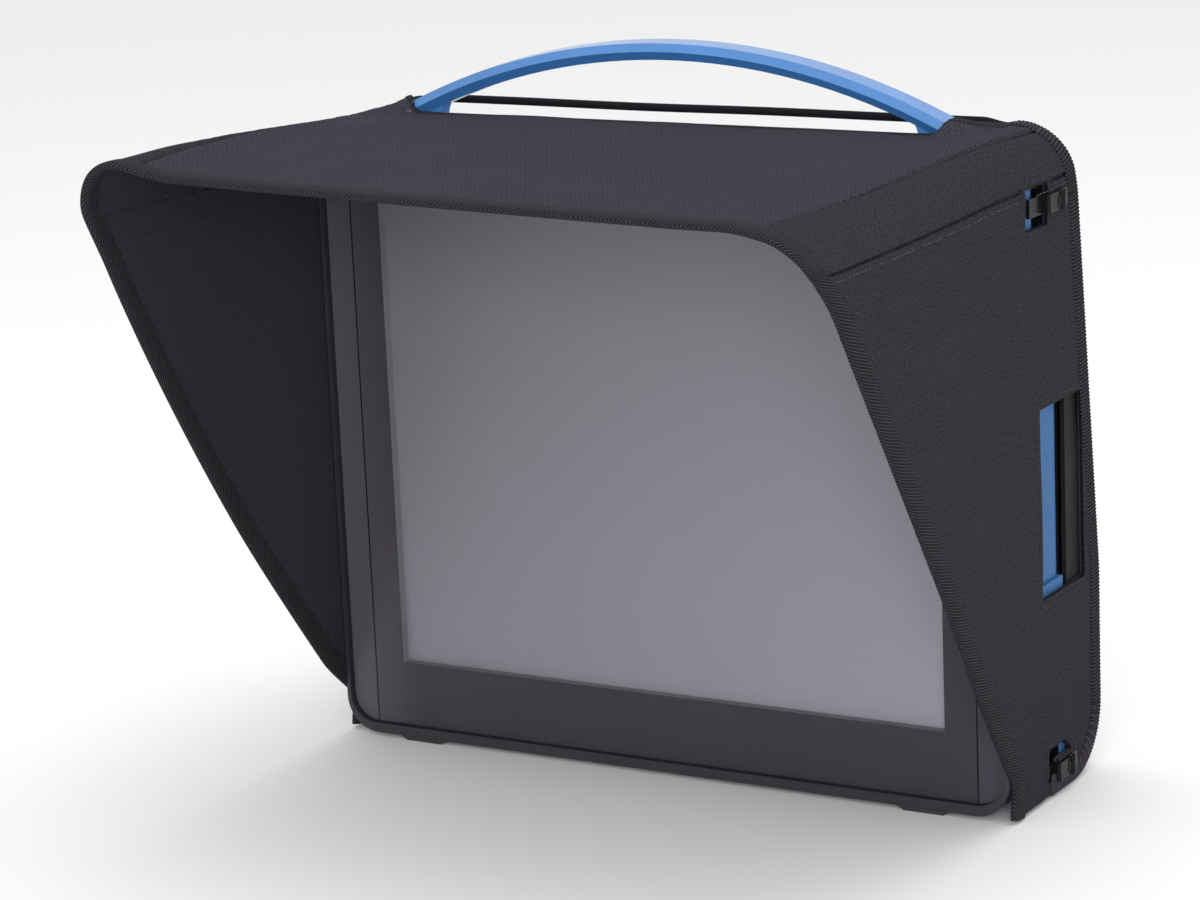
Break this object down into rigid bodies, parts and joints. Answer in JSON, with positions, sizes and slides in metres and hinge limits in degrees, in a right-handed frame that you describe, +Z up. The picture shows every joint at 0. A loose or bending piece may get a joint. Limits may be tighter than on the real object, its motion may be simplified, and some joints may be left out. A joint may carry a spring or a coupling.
{
  "type": "field monitor with sun hood",
  "caption": "Portable flat-screen field monitor in a die-cast chassis with a bow handle, under a removable fabric sun hood held by hinged clips and an elastic cord.",
  "frame": {"origin": "on the floor under the centre of the bounding box, between the rubber feet", "axes": "+Z up, the screen faces -Y, +X to the right of a viewer in front of the screen"},
  "size_m": [0.4296, 0.3298, 0.4],
  "materials": {
    "blue_paint": "fine satin powder coat",
    "bezel": "fine matt moulded texture",
    "glass": "clear polished",
    "mask": "black print behind the glass",
    "seal": "dark grey foam",
    "display": "satin grey, switched off",
    "backlight": "matt white",
    "steel": "zinc plated",
    "aluminium": "satin anodised",
    "black_plastic": "fine matt",
    "cover_plastic": "fine spark texture",
    "key_plastic": "satin",
    "tray_paint": "matt black paint",
    "nickel": "bright nickel",
    "circuit_board": "satin solder mask",
    "ribbon": "matt film",
    "rubber": "matt",
    "hood_cloth": "fine plain weave, slight sheen",
    "lining_cloth": "matt weave",
    "binding_tape": "herringbone tape",
    "elastic": "braided cover",
    "stiffener": "sheet"
  },
  "bodies": {
    "monitor": {"backlight_unit": "backlight", "bnc_jacks": "nickel", "board_standoffs": "steel", "carrier_screws": "steel", "chassis": "blue_paint", "clip_sockets": "black_plastic", "cover_glass": "glass", "cover_screws": "steel", "display_cell": "display", "dust_seal": "seal", "fan_housing": "black_plastic", "front_bezel": "bezel", "front_feet": "rubber", "glass_mask": "mask", "handle": "blue_paint", "handle_screws": "steel", "hdmi_sockets": "nickel", "heat_sink": "aluminium", "io_board": "circuit_board", "io_tray": "tray_paint", "key_board": "circuit_board", "key_switches": "black_plastic", "main_board": "circuit_board", "panel_cable": "ribbon", "power_board": "circuit_board", "power_inlet": "black_plastic", "rear_cover": "cover_plastic", "rear_feet": "rubber", "screen_carrier": "steel", "tripod_insert": "steel", "vent_band": "black_plastic", "vesa_plate": "aluminium", "vesa_screws": "steel"},
    "hood": {"clip_anchors": "black_plastic", "clip_pins": "steel", "cutout_binding": "binding_tape", "elastic_cord": "elastic", "hood_corner_left": "hood_cloth", "hood_corner_right": "hood_cloth", "hood_front_binding": "binding_tape", "hood_lining": "lining_cloth", "hood_side_left": "hood_cloth", "hood_side_right": "hood_cloth", "hood_top_panel": "hood_cloth", "rear_binding_left": "binding_tape", "rear_binding_right": "binding_tape", "roof_board": "stiffener", "side_board_left": "stiffener", "side_board_right": "stiffener"},
    "clip_upper_right": {"clip_upper_right": "black_plastic"},
    "clip_upper_left": {"clip_upper_left": "black_plastic"},
    "clip_lower_right": {"clip_lower_right": "black_plastic"},
    "clip_lower_left": {"clip_lower_left": "black_plastic"},
    "down_button": {"down_button": "key_plastic"},
    "input_button": {"input_button": "key_plastic"},
    "menu_button": {"menu_button": "key_plastic"},
    "power_button": {"power_button": "key_plastic"},
    "up_button": {"up_button": "key_plastic"},
    "fan_rotor": {"fan_rotor": "black_plastic"}
  },
  "joints": [
    {"name": "hood_slide", "type": "slide", "parent": "monitor", "child": "hood", "axis": [0, -1, 0], "range_m": [0, 0.125], "deforming": ["elastic_cord"]},
    {"name": "clip_upper_right_hinge", "type": "hinge", "parent": "hood", "child": "clip_upper_right", "pos_m": [0.2124, 0.1125, 0.3205], "axis": [0, 0, 1], "range_deg": [0, 120]},
    {"name": "clip_upper_left_hinge", "type": "hinge", "parent": "hood", "child": "clip_upper_left", "pos_m": [-0.2124, 0.1125, 0.3205], "axis": [0, 0, -1], "range_deg": [0, 120]},
    {"name": "clip_lower_right_hinge", "type": "hinge", "parent": "hood", "child": "clip_lower_right", "pos_m": [0.2124, 0.1155, 0.0135], "axis": [0, 0, 1], "range_deg": [0, 120]},
    {"name": "clip_lower_left_hinge", "type": "hinge", "parent": "hood", "child": "clip_lower_left", "pos_m": [-0.2124, 0.1155, 0.0135], "axis": [0, 0, -1], "range_deg": [0, 120]},
    {"name": "down_button_press", "type": "slide", "parent": "monitor", "child": "down_button", "axis": [0, -1, 0], "range_m": [0, 0.0015], "stiffness_N_per_m": 400},
    {"name": "input_button_press", "type": "slide", "parent": "monitor", "child": "input_button", "axis": [0, -1, 0], "range_m": [0, 0.0015], "stiffness_N_per_m": 400},
    {"name": "menu_button_press", "type": "slide", "parent": "monitor", "child": "menu_button", "axis": [0, -1, 0], "range_m": [0, 0.0015], "stiffness_N_per_m": 400},
    {"name": "power_button_press", "type": "slide", "parent": "monitor", "child": "power_button", "axis": [0, -1, 0], "range_m": [0, 0.0015], "stiffness_N_per_m": 400},
    {"name": "up_button_press", "type": "slide", "parent": "monitor", "child": "up_button", "axis": [0, -1, 0], "range_m": [0, 0.0015], "stiffness_N_per_m": 400},
    {"name": "fan_spin", "type": "hinge", "parent": "monitor", "child": "fan_rotor", "pos_m": [0.112, 0.1265, 0.222], "axis": [0, 1, 0], "continuous": true}
  ]
}
